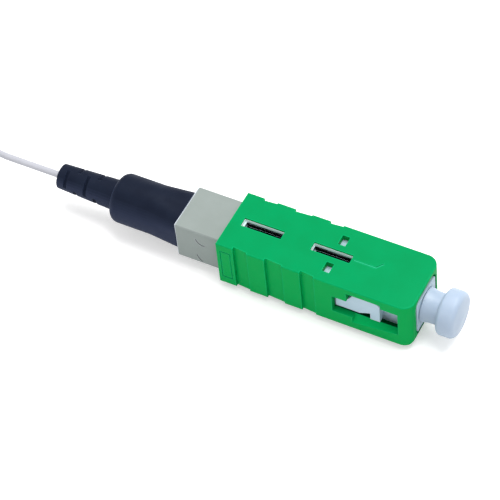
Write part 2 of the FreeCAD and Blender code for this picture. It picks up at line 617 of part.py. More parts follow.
def ferrule_flange():
    """Collar that the spring drives against the frame's shoulder, with a nose round the ferrule."""
    collar = bar(FLANGE_REAR, COLLAR_FRONT, COLLAR_HALF_W, COLLAR_HALF_H)
    collar = collar.makeChamfer(COLLAR_CHAMFER, long_edges(collar, COLLAR_LEN))
    nose = rod(FLANGE_NOSE_R, COLLAR_FRONT - EPS, COLLAR_FRONT + FLANGE_NOSE_LEN)
    body = collar.fuse(nose)
    body = body.cut(rod(FERRULE_R + FLANGE_FIT, FERRULE_REAR, COLLAR_FRONT + FLANGE_NOSE_LEN + EPS))
    return body.cut(rod(FIBRE_R + SPLICE_FIBRE_CLEAR, FLANGE_REAR - EPS, FERRULE_REAR + EPS))


def splice_channels():
    """Room along the parting plane for the fibre and, further back, for its coating."""
    fibre = rod(FIBRE_R + SPLICE_FIBRE_CLEAR, SPLICE_REAR - EPS, FLANGE_REAR + EPS)
    coating = rod(CABLE_R + SPLICE_PART_GAP, SPLICE_REAR - EPS, BUFFER_FRONT + COATING_ROOM)
    lead = turned([(SPLICE_REAR - EPS, 0), (SPLICE_REAR - EPS, SEAT_BORE_R), (SPLICE_REAR, SEAT_BORE_R),
                   (SPLICE_REAR + SEAT_BORE_R, 0)])
    return fibre.fuse(coating).fuse(lead)


def wedge_groove(x0, x1):
    """V along the top of the parting line, where the opening wedge enters."""
    z = SPLICE_HALF_H
    wire = Part.makePolygon([vec(x0, -SPLICE_WEDGE, AXIS_Z + z), vec(x0, 0, AXIS_Z + z - SPLICE_WEDGE),
                             vec(x0, SPLICE_WEDGE, AXIS_Z + z), vec(x0, 0, AXIS_Z + z + SPLICE_WEDGE),
                             vec(x0, -SPLICE_WEDGE, AXIS_Z + z)])
    return Part.Face(wire).extrude(vec(x1 - x0, 0, 0))


def splice_base():
    """Fixed half of the splice on the +Y side, closed across at both ends."""
    half = block(SPLICE_REAR, FLANGE_REAR, SPLICE_PART_GAP, SPLICE_HALF_W, -SPLICE_HALF_H, SPLICE_HALF_H)
    rear_web = bar(SPLICE_REAR, SPLICE_REAR + SPLICE_WEB, SPLICE_HALF_W, SPLICE_HALF_H)
    front_web = bar(FLANGE_REAR - SPLICE_WEB, FLANGE_REAR, SPLICE_HALF_W, SPLICE_HALF_H)
    body = half.fuse(rear_web).fuse(front_web).cut(splice_channels())
    return body.cut(wedge_groove(SPLICE_REAR + SPLICE_WEB, FLANGE_REAR - SPLICE_WEB))


def lid_span(front):
    """Ends of the front or the rear lid."""
    if front:
        return LID_SPLIT + LID_GAP, FLANGE_REAR - SPLICE_WEB - LID_END_GAP
    return SPLICE_REAR + SPLICE_WEB + LID_END_GAP, LID_SPLIT


def splice_lid(front):
    """One hinged half of the splice on the -Y side."""
    x0, x1 = lid_span(front)
    body = block(x0, x1, -SPLICE_HALF_W, -SPLICE_PART_GAP, -SPLICE_HALF_H, SPLICE_HALF_H)
    return body.cut(splice_channels()).cut(wedge_groove(x0 - EPS, x1 + EPS))


def clamp_spring(front):
    """U-shaped metal clip, open upwards, that presses one lid on the base."""
    x0, x1 = lid_span(front)
    x0 = x0 + CLAMP_SETBACK
    x1 = x1 - CLAMP_SETBACK
    inner_w = SPLICE_HALF_W + CLAMP_FIT
    inner_h = SPLICE_HALF_H + CLAMP_FIT
    outer_w = inner_w + CLAMP_T
    outer_h = inner_h + CLAMP_T
    outer = block(x0, x1, -outer_w, outer_w, -outer_h, SPLICE_HALF_H - CLAMP_ARM_DROP)
    bottom = edges_where(outer, lambda p: p.z < AXIS_Z - outer_h + TINY)
    outer = outer.makeFillet(CLAMP_T, [edge for edge in bottom if edge.BoundBox.XLength > CLAMP_T])
    return outer.cut(block(x0 - EPS, x1 + EPS, -inner_w, inner_w, -inner_h, SPLICE_HALF_H + EPS))


def spring_seat():
    """Thrust ring between the ferrule spring and the splice."""
    ring = rod(SEAT_R, SPLICE_REAR - SEAT_T, SPLICE_REAR)
    return ring.cut(rod(SEAT_BORE_R, SPLICE_REAR - SEAT_T - EPS, SPLICE_REAR + EPS))


def ferrule_spring():
    """Coil spring between the rear body and the thrust ring."""
    start = SPRING_SEAT_X + SPRING_WIRE_R + SPRING_END_GAP
    end = SPLICE_REAR - SEAT_T - SPRING_WIRE_R - SPRING_END_GAP
    height = end - start
    helix = Part.makeHelix(height / SPRING_TURNS, height, SPRING_MEAN_R)
    section = Part.Wire(Part.makeCircle(SPRING_WIRE_R, vec(SPRING_MEAN_R, 0, 0), vec(0, 1, 0)))
    coil = Part.Wire(helix).makePipeShell([section], True, True)
    coil.rotate(vec(0, 0, 0), vec(0, 1, 0), 90)
    return coil.translated(vec(start, 0, AXIS_Z))


def fibre_stub():
    """Short fibre fixed in the ferrule, reaching back to the splice point."""
    return rod(FIBRE_R, FIBRE_JOINT, TIP_X - FIBRE_R)


def bare_fibre():
    """Stripped end of the field fibre, from inside its coating to the splice point."""
    return rod(FIBRE_R, BUFFER_FRONT - CABLE_STRIP, FIBRE_JOINT)


def fibre_buffer():
    """Coated fibre inside the connector, with a short bore where the bare fibre leaves it."""
    coated = rod(CABLE_R, BOOT_REAR, BUFFER_FRONT)
    return coated.cut(rod(STRIP_BORE_R, BUFFER_FRONT - STRIP_BORE_LEN, BUFFER_FRONT + EPS))


# ---- dust cap -----------------------------------------------------------------------------------
def dust_cap():
    """Soft cap: a tube over the ferrule, a neck and a slightly domed round head."""
    step = HOUSING_LEN + CAP_STEP_GAP
    body = turned([(CAP_REAR, 0), (CAP_REAR, CAP_TUBE_R), (step, CAP_TUBE_R), (step, CAP_NECK_R),
                   (CAP_HEAD_REAR, CAP_NECK_R), (CAP_HEAD_REAR, CAP_HEAD_R), (CAP_RIM, CAP_HEAD_R),
                   (CAP_RIM, 0)])
    rounded = edges_where(body, lambda p: math.hypot(p.y, p.z - AXIS_Z) > CAP_HEAD_R - TINY)
    body = body.makeFillet(CAP_EDGE_R, [edge for edge in rounded if edge.BoundBox.XLength < TINY])

    def in_neck_corner(point):
        near_neck = abs(math.hypot(point.y, point.z - AXIS_Z) - CAP_NECK_R) < TINY
        return near_neck and abs(point.x - CAP_HEAD_REAR) < TINY

    body = body.makeFillet(CAP_NECK_FILLET, edges_where(body, in_neck_corner))
    dome_r = CAP_HEAD_R - CAP_EDGE_R
    ball_r = (dome_r ** 2 + CAP_DOME ** 2) / (2 * CAP_DOME)
    ball = Part.makeSphere(ball_r, vec(CAP_FRONT - ball_r, 0, AXIS_Z))
    dome = ball.common(rod(dome_r, CAP_RIM - CAP_EDGE_R, CAP_FRONT + EPS))
    body = body.fuse(dome)
    return body.cut(rod(CAP_BORE_R, CAP_REAR - EPS, TIP_X + CAP_TIP_ROOM))


# ---- cable --------------------------------------------------------------------------------------
def cable_route():
    """Points of the free cable up to its hank: straight out of the boot, then down to the hank."""
    return [vec(BOOT_REAR, 0, AXIS_Z),
            vec(BOOT_REAR - STRAIGHT_RUN, 0, AXIS_Z),
            vec(HANK_X, HANK_SIDE, HANK_Z)]


def bend_radius(before, corner, after):
    """Largest arc that the two runs at a corner allow, with the length that it takes from each."""
    run_in = corner.sub(before)
    run_out = after.sub(corner)
    half_turn = run_in.getAngle(run_out) / 2
    tangent = BEND_SHARE * min(run_in.Length, run_out.Length)
    return tangent / math.tan(half_turn), tangent


def cable():
    """Free cable between the boot and the hank: straight runs joined by tangent arcs."""
    route = cable_route()
    edges = []
    start = route[0]
    for before, corner, after in zip(route, route[1:], route[2:]):
        radius, tangent = bend_radius(before, corner, after)
        print("cable arc radius %.2f mm" % radius)
        into = corner.sub(before).normalize()
        out = after.sub(corner).normalize()
        arc_start = corner.sub(vec(into.x, into.y, into.z).multiply(tangent))
        arc_end = corner.add(vec(out.x, out.y, out.z).multiply(tangent))
        inward = out.sub(into).normalize()
        sagitta = math.hypot(radius, tangent) - radius
        middle = corner.add(vec(inward.x, inward.y, inward.z).multiply(sagitta))
        edges.append(Part.LineSegment(start, arc_start).toShape())
        edges.append(Part.Arc(arc_start, middle, arc_end).toShape())
        start = arc_end
    edges.append(Part.LineSegment(start, route[-1]).toShape())
    path = Part.Wire(edges)
    section = Part.Wire(Part.makeCircle(CABLE_R, route[0], vec(1, 0, 0)))
    tube = path.makePipeShell([section], True, False)
    expected = math.pi * CABLE_R ** 2 * path.Length
    print("cable tube %.3f mm3, section times length %.3f mm3" % (tube.Volume, expected))
    return tube.cut(hank_ring())


def hank_runs(radius, length):
    """The hank's two straight runs, as rods about its middle."""
    start = HANK_X - (HANK_RUN + length) / 2
    return [Part.makeCylinder(radius, length, vec(start, side, HANK_Z), vec(1, 0, 0))
            for side in (HANK_SIDE, HANK_SIDE - 2 * HANK_END_R)]


def hank_end(station, turn):
    """Half ring that joins the two runs at one end."""
    centre = vec(station, HANK_SIDE - HANK_END_R, HANK_Z)
    half = Part.makeTorus(HANK_END_R, HANK_BUNDLE_R, centre, vec(0, 0, 1), 0, 360, 180)
    half.rotate(centre, vec(0, 0, 1), turn)
    return half


def hank_ring():
    """Outer shape of the put-away cable: two straight runs and two half rings."""
    ends = [hank_end(HANK_X, -90), hank_end(HANK_X - HANK_RUN, 90)]
    near, far = hank_runs(HANK_BUNDLE_R, HANK_RUN)
    return near.multiFuse([far] + ends).removeSplitter()


def cable_coil():
    """The hank, with the turns that it holds printed for the record."""
    one_turn = 2 * HANK_RUN + 2 * math.pi * HANK_END_R
    print("hank turns %.2f" % ((CABLE_LENGTH - STRAIGHT_RUN - DROP_RUN) / one_turn))
    return hank_ring()


def hank_wrap(radius, length):
    """Flat-sided rod round both runs at the hank's middle."""
    near, far = hank_runs(radius, length)
    start = HANK_X - (HANK_RUN + length) / 2
    web = Part.makeBox(length, 2 * HANK_END_R, 2 * radius,
                       vec(start, HANK_SIDE - 2 * HANK_END_R, HANK_Z - radius))
    return near.multiFuse([far, web]).removeSplitter()


def coil_tie():
    """Thin tape band round both runs of the hank."""
    inner = hank_wrap(HANK_BUNDLE_R, HANK_TIE_W + 2 * EPS)
    return hank_wrap(HANK_BUNDLE_R + HANK_TIE_T, HANK_TIE_W).cut(inner)


def pieces():
    """Every node's name with the function call that makes it."""
    return {
        "outer_housing": outer_housing(),
        "plug_frame": plug_frame(),
        "rear_body": rear_body(),
        "boot": boot(),
        "grip_sleeve": grip_sleeve(),
        "ferrule": ferrule(),
        "ferrule_flange": ferrule_flange(),
        "fibre_stub": fibre_stub(),
        "splice_base": splice_base(),
        "front_lid": splice_lid(True),
        "rear_lid": splice_lid(False),
        "front_clamp": clamp_spring(True),
        "rear_clamp": clamp_spring(False),
        "spring_seat": spring_seat(),
        "ferrule_spring": ferrule_spring(),
        "bare_fibre": bare_fibre(),
        "fibre_buffer": fibre_buffer(),
        "dust_cap": dust_cap(),
        "cable": cable(),
        "cable_coil": cable_coil(),
        "coil_tie": coil_tie(),
    }


def main():
    """Build every piece and write one STEP file for each."""
    os.makedirs("parts", exist_ok=True)
    for name, shape in pieces().items():
        solid = shape.Solids[0] if len(shape.Solids) == 1 else shape
        placed = solid.translated(vec(ORIGIN_SHIFT, 0, 0))
        placed.exportStep("parts/%s.step" % name)
        box = placed.BoundBox
        print("%-15s solids %d valid %s volume %9.4f  x %7.2f %7.2f  y %6.2f %6.2f  z %6.2f %6.2f" % (
            name, len(shape.Solids), placed.isValid(), placed.Volume,
            box.XMin, box.XMax, box.YMin, box.YMax, box.ZMin, box.ZMax))


main()
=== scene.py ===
"""A push-pull fibre connector on its pigtail, finished for the studio.

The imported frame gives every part's place. The classes here add the rounded
edges, the free fibre cable, its tape tie and the dust cap, give each part its
finish, and set the studio and the camera.
"""

import logging
import math
from dataclasses import dataclass
from enum import Enum
from typing import Callable, Iterable

import bmesh
import bpy
from mathutils import Matrix, Vector


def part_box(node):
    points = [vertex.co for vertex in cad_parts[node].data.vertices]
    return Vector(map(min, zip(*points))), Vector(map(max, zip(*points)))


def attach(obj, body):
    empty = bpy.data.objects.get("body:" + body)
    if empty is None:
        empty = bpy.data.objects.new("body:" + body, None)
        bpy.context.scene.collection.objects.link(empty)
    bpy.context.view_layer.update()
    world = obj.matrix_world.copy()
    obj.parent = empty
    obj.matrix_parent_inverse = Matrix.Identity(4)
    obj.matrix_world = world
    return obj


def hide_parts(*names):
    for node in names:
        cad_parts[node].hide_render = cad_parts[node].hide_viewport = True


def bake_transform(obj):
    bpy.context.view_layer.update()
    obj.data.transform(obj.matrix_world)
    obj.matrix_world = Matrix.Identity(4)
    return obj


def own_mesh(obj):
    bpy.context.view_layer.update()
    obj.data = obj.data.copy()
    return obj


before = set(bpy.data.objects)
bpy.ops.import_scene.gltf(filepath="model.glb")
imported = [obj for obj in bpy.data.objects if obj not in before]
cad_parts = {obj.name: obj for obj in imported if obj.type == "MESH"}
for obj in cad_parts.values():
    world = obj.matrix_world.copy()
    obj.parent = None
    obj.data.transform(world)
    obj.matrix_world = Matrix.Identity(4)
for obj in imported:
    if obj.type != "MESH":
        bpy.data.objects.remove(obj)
LOG = logging.getLogger("connector")
MM = 0.001
Colour = tuple[float, float, float]
Point = tuple[float, float, float]
Span = tuple[float, float]
FULL: Span = (0.0, 1.0)
NOISE_SPAN: Span = (0.3, 0.7)  # most of a noise's values lie in it
FACING = 0.9  # a face whose normal reaches this along an axis faces that way


class Body(str, Enum):
    """The moving bodies that pieces ride on."""

    PLUG = "plug"
    SLEEVE = "sleeve"
    FERRULE = "ferrule_unit"
    FRONT_LEAF = "front_leaf"
    REAR_LEAF = "rear_leaf"
    CAP = "cap"


class Slot(str, Enum):
    """The record's material slots."""

    GREEN = "housing_green"
    WHITE = "frame_white"
    GREY = "body_grey"
    RUBBER = "boot_rubber"
    CABLE = "cable_white"
    CAP = "cap_plastic"
    CERAMIC = "ferrule_ceramic"
    FLANGE = "flange_metal"
    BLACK = "splice_black"
    STEEL = "spring_steel"
    GLASS = "fibre_glass"
    TAPE = "tie_tape"


class ShaderGraph:
    """The node graph of one material, with a Principled surface."""

    EDGE_SPAN: Span = (0.995, 0.88)
    STEEP_SPAN: Span = (0.75, 0.25)
    EDGE_SAMPLES = 4

    def __init__(self, name: str) -> None:
        """Makes the material with an empty graph.

        Args:
            name: The material's name.
        """
        self.material = bpy.data.materials.new(name)
        self.material.use_nodes = True
        self.tree = self.material.node_tree
        self.tree.nodes.clear()
        self.surface = self.add("ShaderNodeBsdfPrincipled")
        self.output = self.add("ShaderNodeOutputMaterial")
        self.join(self.surface.outputs["BSDF"], self.output.inputs["Surface"])
        self.place = self.add("ShaderNodeTexCoord").outputs["Object"]

    def add(self, kind: str, **settings: object) -> bpy.types.Node:
        """Adds a node.

        Args:
            kind: The node's type name.
            settings: Attributes to set on it.

        Returns:
            The new node.
        """
        node = self.tree.nodes.new(kind)
        for key, value in settings.items():
            setattr(node, key, value)
        return node

    def join(self, source: bpy.types.NodeSocket, target: bpy.types.NodeSocket) -> None:
        """Links an output socket to an input socket."""
        self.tree.links.new(source, target)

    def set(self, **values: float) -> None:
        """Sets constants on the surface's own sockets, named with underscores."""
        for key, value in values.items():
            self.surface.inputs[key.replace("_", " ")].default_value = value

    def noise(self, size: float, detail: float = 3.0) -> bpy.types.NodeSocket:
        """Adds noise.

        Args:
            size: How far apart its spots are, in metres.
            detail: How many finer layers it has.

        Returns:
            The noise's value.
        """
        texture = self.add("ShaderNodeTexNoise")
        texture.inputs["Scale"].default_value = 1.0 / size
        texture.inputs["Detail"].default_value = detail
        self.join(self.place, texture.inputs["Vector"])
        return texture.outputs["Fac"]

    def spread(self, source: bpy.types.NodeSocket, span: Span, to: Span = FULL) -> bpy.types.NodeSocket:
        """Maps a value from one span to another, and keeps it inside.

        Args:
            source: The value.
            span: The span that it comes in.
            to: The span that it leaves in.

        Returns:
            The mapped value.
        """
        node = self.add("ShaderNodeMapRange", clamp=True)
        for key, value in zip(("From Min", "From Max", "To Min", "To Max"), (*span, *to)):
            node.inputs[key].default_value = value
        self.join(source, node.inputs["Value"])
        return node.outputs["Result"]

    def mix(self, share: bpy.types.NodeSocket, first: object, second: Colour) -> bpy.types.NodeSocket:
        """Mixes two colours.

        Args:
            share: How much of the second shows.
            first: A colour, or a socket that gives one.
            second: A colour.

        Returns:
            The mixed colour.
        """
        node = self.add("ShaderNodeMix", data_type="RGBA")
        self.join(share, node.inputs["Factor"])
        if isinstance(first, bpy.types.NodeSocket):
            self.join(first, node.inputs[6])
        else:
            node.inputs[6].default_value = (*first, 1.0)
        node.inputs[7].default_value = (*second, 1.0)
        return node.outputs[2]

    def near_edge(self, radius: float) -> bpy.types.NodeSocket:
        """Finds the edges.

        Args:
            radius: How far from an edge it looks, in metres.

        Returns:
            How near an edge is, from 0 to 1.
        """
        bevel = self.add("ShaderNodeBevel", samples=self.EDGE_SAMPLES)
        bevel.inputs["Radius"].default_value = radius
        flat = self.add("ShaderNodeNewGeometry").outputs["True Normal"]
        dot = self.add("ShaderNodeVectorMath", operation="DOT_PRODUCT")
        self.join(bevel.outputs["Normal"], dot.inputs[0])
        self.join(flat, dot.inputs[1])
        return self.spread(dot.outputs["Value"], self.EDGE_SPAN)

    def upright(self) -> bpy.types.NodeSocket:
        """Gives how upright the surface stands: 0 on top and below, 1 on a wall."""
        apart = self.add("ShaderNodeSeparateXYZ")
        self.join(self.add("ShaderNodeNewGeometry").outputs["True Normal"], apart.inputs["Vector"])
        steep = self.add("ShaderNodeMath", operation="ABSOLUTE")
        self.join(apart.outputs["Z"], steep.inputs[0])
        return self.spread(steep.outputs["Value"], self.STEEP_SPAN)

    def bump(self, height: bpy.types.NodeSocket, depth: float) -> bpy.types.NodeSocket:
        """Adds a bump.

        Args:
            height: The relief.
            depth: How deep it is, in metres.

        Returns:
            The bumped normal.
        """
        node = self.add("ShaderNodeBump")
        node.inputs["Distance"].default_value = depth
        node.inputs["Strength"].default_value = 1.0
        self.join(height, node.inputs["Height"])
        return node.outputs["Normal"]


@dataclass(frozen=True)
class Finish:
    """A surface finish: its colours, gloss, grain, and paler edges of wear and painted highlight.

    Sizes are in metres and colours are linear. The body's colour drifts between
    colour and deep, and flank, a painted side light, takes its place on upright faces.
    """

    name: str
    colour: Colour
    deep: Colour
    edge: Colour
    gloss: Span = (0.38, 0.5)
    cloud: float = 3.0e-3
    grain: float = 1.2e-4
    relief: float = 2.0e-6
    round_r: float = 1.2e-4
    wear_and_highlight: float = 0.5
    least_wear_and_highlight: float = 0.4
    shine: float = 0.2
    glow: float = 0.0
    flank: Colour | None = None
    cloud_span: Span = (0.35, 0.65)

    def make(self) -> bpy.types.Material:
        """Builds the material."""
        graph = ShaderGraph(self.name)
        clouds = graph.spread(graph.noise(self.cloud), self.cloud_span)
        body = graph.mix(clouds, self.colour, self.deep)
        # Painted side light: upright faces take the flank colour.
        if self.flank is not None:
            body = graph.mix(graph.upright(), body, self.flank)
        # Paler edges: wear patches and a painted highlight near every edge, in the edge colour.
        worn_and_highlit = graph.add("ShaderNodeMath", operation="MULTIPLY")
        graph.join(graph.near_edge(self.round_r), worn_and_highlit.inputs[0])
        wear_and_highlight_span = (self.least_wear_and_highlight * self.wear_and_highlight, self.wear_and_highlight)
        patches = graph.spread(graph.noise(self.cloud / 4), NOISE_SPAN, wear_and_highlight_span)
        graph.join(patches, worn_and_highlit.inputs[1])
        graph.join(graph.mix(worn_and_highlit.outputs["Value"], body, self.edge), graph.surface.inputs["Base Color"])
        gloss = graph.spread(graph.noise(self.cloud / 2, 5.0), NOISE_SPAN, self.gloss)
        graph.join(gloss, graph.surface.inputs["Roughness"])
        bumped = graph.bump(graph.noise(self.grain, 2.0), self.relief)
        graph.join(bumped, graph.surface.inputs["Normal"])
        self.finish(graph)
        return graph.material

    def finish(self, graph: ShaderGraph) -> None:
        """Adds plain moulded plastic's gloss, and a painted glow in its colour where glow is set."""
        graph.set(Specular_IOR_Level=self.shine)
        if self.glow > 0.0:
            graph.set(Emission_Strength=self.glow)
            graph.surface.inputs["Emission Color"].default_value = (*self.colour, 1.0)


@dataclass(frozen=True)
class Rubber(Finish):
    """A soft matt rubber."""

    sheen: float = 0.05
    sheen_spread: float = 0.4
    sheen_tint: Colour = (0.4, 0.55, 1.0)

    def finish(self, graph: ShaderGraph) -> None:
        """Adds the soft sheen."""
        graph.set(Specular_IOR_Level=self.shine, Sheen_Weight=self.sheen, Sheen_Roughness=self.sheen_spread)
        graph.surface.inputs["Sheen Tint"].default_value = (*self.sheen_tint, 1.0)


@dataclass(frozen=True)
class MilkyPlastic(Finish):
    """A plastic that lets some light in under its surface."""

    depth: float = 6.0e-4
    share: float = 0.35
    reach: Colour = (0.8, 0.9, 1.0)

    def finish(self, graph: ShaderGraph) -> None:
        """Adds the scattering."""
        graph.set(Specular_IOR_Level=self.shine, Subsurface_Weight=self.share, Subsurface_Scale=self.depth)
        graph.surface.inputs["Subsurface Radius"].default_value = self.reach


@dataclass(frozen=True)
class Metal(Finish):
    """A turned or drawn metal."""

    def finish(self, graph: ShaderGraph) -> None:
        """Makes it metallic."""
        graph.set(Metallic=1.0)


@dataclass(frozen=True)
class Glass(Finish):
    """A clear glass fibre."""

    clear: float = 0.85
    index: float = 1.46

    def finish(self, graph: ShaderGraph) -> None:
        """Makes it clear."""
        graph.set(Transmission_Weight=self.clear, IOR=self.index)


# Below, edge is the paler edge colour (wear and painted highlight); flank is painted side light.
GREEN = Finish(
    "housing_plastic", (0.0, 0.235, 0.074), (0.0, 0.22, 0.067), (0.004, 0.4, 0.16), (0.32, 0.45),
    round_r=2.2e-4, wear_and_highlight=0.9, shine=0.03, flank=(0.0, 0.305, 0.066),
)
# A lit copy of the green: painted light on the window sills, which lie in shade.
LIT_SILL = Finish(
    "sill_painted_light", (0.0, 0.4, 0.1), (0.0, 0.375, 0.09), (0.004, 0.45, 0.16), (0.35, 0.5),
    shine=0.03,
)
# Pale green for the top line: a painted highlight of the groove's lit wall.
PALE_GREEN = Finish(
    "mark_painted_highlight", (0.02, 0.4, 0.19), (0.015, 0.36, 0.16), (0.03, 0.42, 0.2), (0.35, 0.45),
    round_r=1.0e-5, shine=0.05,
)
WHITE = MilkyPlastic(
    "frame_plastic", (0.4, 0.52, 0.61), (0.37, 0.49, 0.58), (0.55, 0.62, 0.68), (0.32, 0.45),
    shine=0.25, share=0.2,
)
# Pale slot lining that glows: painted light on the slots' far walls.
LINING = Finish(
    "lining_plastic", (0.43, 0.54, 0.54), (0.38, 0.49, 0.5), (0.5, 0.58, 0.58), (0.35, 0.5),
    round_r=2.0e-5, glow=0.3,
)
PAD = Finish(
    "pad_plastic", (0.34, 0.46, 0.51), (0.3, 0.42, 0.48), (0.4, 0.5, 0.55), (0.35, 0.5),
    round_r=2.0e-5, shine=0.1,
)
GREY = Finish(
    "body_plastic", (0.216, 0.248, 0.236), (0.202, 0.233, 0.22), (0.36, 0.375, 0.40), (0.42, 0.55),
    round_r=2.2e-4, wear_and_highlight=1.0, flank=(0.232, 0.268, 0.257),
)
# Painted highlight on the grey body's rear rim, with a little glow.
RIM_HIGHLIGHT = Finish(
    "rim_painted_highlight", (0.5, 0.545, 0.6), (0.46, 0.505, 0.56), (0.6, 0.64, 0.7), (0.4, 0.5),
    round_r=2.0e-5, glow=0.12,
)
BOOT = Rubber(
    "boot_rubber_skin", (0.0075, 0.0115, 0.024), (0.0055, 0.0085, 0.019), (0.018, 0.025, 0.05), (0.45, 0.6),
    relief=4.0e-6, shine=0.06, flank=(0.018, 0.025, 0.052),
)
# The coating glows a little: painted light on the cable.
JACKET = Finish(
    "fibre_coating", (0.36, 0.365, 0.4), (0.335, 0.34, 0.375), (0.39, 0.4, 0.43), (0.3, 0.45),
    cloud=5.0e-3, glow=0.18,
)
CAP = MilkyPlastic(
    "cap_milky", (0.34, 0.415, 0.515), (0.315, 0.39, 0.495), (0.42, 0.5, 0.59), (0.3, 0.42),
    shine=0.3, depth=9.0e-4,
)
CERAMIC = Finish(
    "zirconia", (0.55, 0.55, 0.53), (0.5, 0.5, 0.48), (0.6, 0.6, 0.58), (0.12, 0.2),
    wear_and_highlight=0.2, shine=0.5,
)
FLANGE = Metal("nickel_turned", (0.55, 0.53, 0.5), (0.5, 0.48, 0.45), (0.7, 0.68, 0.65), (0.22, 0.36))
BLACK = Finish(
    "splice_plastic", (0.012, 0.011, 0.013), (0.008, 0.008, 0.009), (0.05, 0.048, 0.05), (0.3, 0.45),
    shine=0.3,
)
# Painted shade: a near-black sheet in the frame's slots, where there is only shade.
SHADE = Finish(
    "slot_painted_shade", (0.004, 0.003, 0.004), (0.002, 0.002, 0.003), (0.012, 0.01, 0.012), (0.5, 0.7),
    round_r=1.0e-5, shine=0.02,
)
STEEL = Metal(
    "spring_wire", (0.52, 0.52, 0.54), (0.45, 0.45, 0.47), (0.66, 0.66, 0.68), (0.2, 0.34),
    round_r=2.0e-5,
)
GLASS = Glass(
    "silica", (0.9, 0.93, 0.95), (0.86, 0.9, 0.93), (0.95, 0.97, 0.98), (0.02, 0.06),
    relief=2.0e-7, round_r=1.0e-5,
)
TAPE = Finish(
    "tie_film", (0.022, 0.024, 0.032), (0.017, 0.019, 0.026), (0.05, 0.055, 0.07), (0.3, 0.45),
    relief=6.0e-6, shine=0.3,
)


class Wardrobe:
    """Makes each finish once and hands it out."""

    def __init__(self) -> None:
        """Starts with no material made."""
        self.made: dict[str, bpy.types.Material] = {}

    def take(self, finish: Finish) -> bpy.types.Material:
        """Hands out a finish's material."""
        if finish.name not in self.made:
            self.made[finish.name] = finish.make()
        return self.made[finish.name]

    def dress(self, piece: bpy.types.Object, finish: Finish) -> None:
        """Gives a piece its finish.

        Args:
            piece: The piece.
            finish: What it gets.
        """
        if not piece.material_slots:
            piece.data.materials.append(self.take(finish))
        for slot in piece.material_slots:
            slot.material = self.take(finish)


class Workshop:
    """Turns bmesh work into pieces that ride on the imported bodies."""

    SHARP_ANGLE = math.radians(28)
    EDGE_ANGLE = math.radians(40)
    FLAT_ANGLE = math.radians(0.4)
    WELD = 2.0e-6

    def __init__(self, wardrobe: Wardrobe) -> None:
        """Keeps the wardrobe.

        Args:
            wardrobe: Where finishes come from.
        """
        self.wardrobe = wardrobe

    def piece(
        self, name: str, bm: bmesh.types.BMesh, body: Body | None, slot: Slot, finish: Finish
    ) -> bpy.types.Object:
        """Makes a piece from a bmesh and frees the bmesh.

        Args:
            name: The piece's name.
            bm: Its shape, in the frame.
            body: The body that it rides on, or None to leave it unattached.
            slot: The record's slot; not used.
            finish: Its finish.

        Returns:
            The new piece.
        """
        bmesh.ops.recalc_face_normals(bm, faces=bm.faces)
        mesh = bpy.data.meshes.new(name)
        bm.to_mesh(mesh)
        bm.free()
        for layer in ("custom_normal", "UVMap"):
            if layer in mesh.attributes:
                mesh.attributes.remove(mesh.attributes[layer])
        mesh.shade_smooth()
        mesh.set_sharp_from_angle(angle=self.SHARP_ANGLE)
        made = bpy.data.objects.new(name, mesh)
        bpy.context.scene.collection.objects.link(made)
        if body is not None:
            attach(made, body.value)
        self.wardrobe.dress(made, finish)
        LOG.info("%s made, %d faces", name, len(mesh.polygons))
        return made

    def recut(
        self, node: str, name: str, body: Body | None, slot: Slot, finish: Finish, edge: float = 0.0
    ) -> bpy.types.Object:
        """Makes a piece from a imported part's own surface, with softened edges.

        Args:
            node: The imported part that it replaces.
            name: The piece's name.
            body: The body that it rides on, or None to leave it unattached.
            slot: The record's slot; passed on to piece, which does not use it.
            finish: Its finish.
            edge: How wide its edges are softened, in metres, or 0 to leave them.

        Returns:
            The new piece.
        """
        bm = bmesh.new()
        bm.from_mesh(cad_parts[node].data)
        bmesh.ops.remove_doubles(bm, verts=bm.verts, dist=self.WELD)
        bmesh.ops.dissolve_limit(bm, angle_limit=self.FLAT_ANGLE, verts=bm.verts, edges=bm.edges)
        made = self.piece(name, bm, body, slot, finish)
        if edge > 0.0:
            soft = made.modifiers.new("soft_edges", "BEVEL")
            soft.width = edge
            soft.segments = 2
            soft.limit_method = "ANGLE"
            soft.angle_limit = self.EDGE_ANGLE
            soft.harden_normals = True
        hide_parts(node)
        return made

    def trim(
        self, made: bpy.types.Object, finish: Finish, wanted: Callable[[bmesh.types.BMFace], bool]
    ) -> None:
        """Gives some of a piece's faces a finish of their own.

        Args:
            made: The piece.
            finish: What those faces get.
            wanted: Says whether a face is one of them.
        """
        made.data.materials.append(self.wardrobe.take(finish))
        bm = bmesh.new()
        bm.from_mesh(made.data)
        for face in bm.faces:
            if wanted(face):
                face.material_index = len(made.data.materials) - 1
        bm.to_mesh(made.data)
        bm.free()

    def keep(self, node: str, slot: Slot, finish: Finish) -> None:
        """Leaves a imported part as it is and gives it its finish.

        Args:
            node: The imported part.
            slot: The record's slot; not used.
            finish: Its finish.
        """
        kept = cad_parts[node]
        self.wardrobe.dress(kept, finish)
        LOG.info("%s kept", node)


def add_block(bm: bmesh.types.BMesh, low: Point, high: Point) -> None:
    """Adds a block between two corners.

    Args:
        bm: The shape that it is added to.
        low: Its lowest corner.
        high: Its highest corner.
    """
    size = Vector(high) - Vector(low)
    middle = (Vector(high) + Vector(low)) / 2
    bmesh.ops.create_cube(bm, size=1.0, matrix=Matrix.Translation(middle) @ Matrix.Diagonal((*size, 1.0)))


def soften(
    bm: bmesh.types.BMesh, edges: Iterable[bmesh.types.BMEdge], width: float, segments: int = 2
) -> None:
    """Rounds some of a shape's edges.

    Args:
        bm: The shape.
        edges: The edges.
        width: How wide the rounding is.
        segments: How many facets it has.
    """
    bmesh.ops.bevel(
        bm,
        geom=edges,
        offset=width,
        offset_type="OFFSET",
        segments=segments,
        profile=0.5,
        affect="EDGES",
        material=-1,
    )


